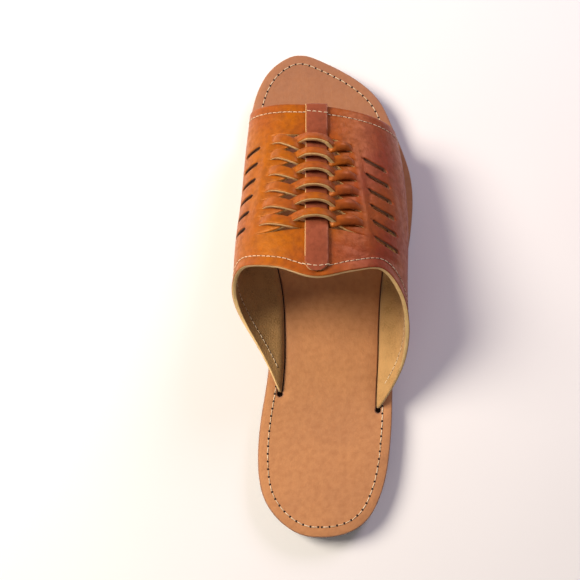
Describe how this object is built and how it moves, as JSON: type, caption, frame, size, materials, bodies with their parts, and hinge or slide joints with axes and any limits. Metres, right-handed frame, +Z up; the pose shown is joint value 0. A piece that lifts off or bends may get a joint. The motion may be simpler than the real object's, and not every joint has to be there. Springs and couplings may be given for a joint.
{
  "type": "woven slide sandal",
  "caption": "Open-toe slide sandal with a woven leather vamp, centre strap, slotted footbed and flat rubber sole, right foot.",
  "frame": {"origin": "on the floor plane under the middle of the heel, centre of the flat heel rest", "axes": "+Y along the sole to the toe, +X to the little toe side, +Z up"},
  "size_m": [0.1085, 0.297, 0.0765],
  "materials": {
    "outsole_rubber": "moulded dark rubber, dull",
    "insole_leather": "natural tan vegetable-tanned leather, satin",
    "upper_leather": "orange tan waxed full-grain leather, satin",
    "strap_leather": "reddish tan waxed full-grain leather, satin"
  },
  "bodies": {
    "root": {"outsole": "outsole_rubber", "insole": "insole_leather", "upper": "upper_leather", "centre_strap": "strap_leather"}
  },
  "joints": []
}
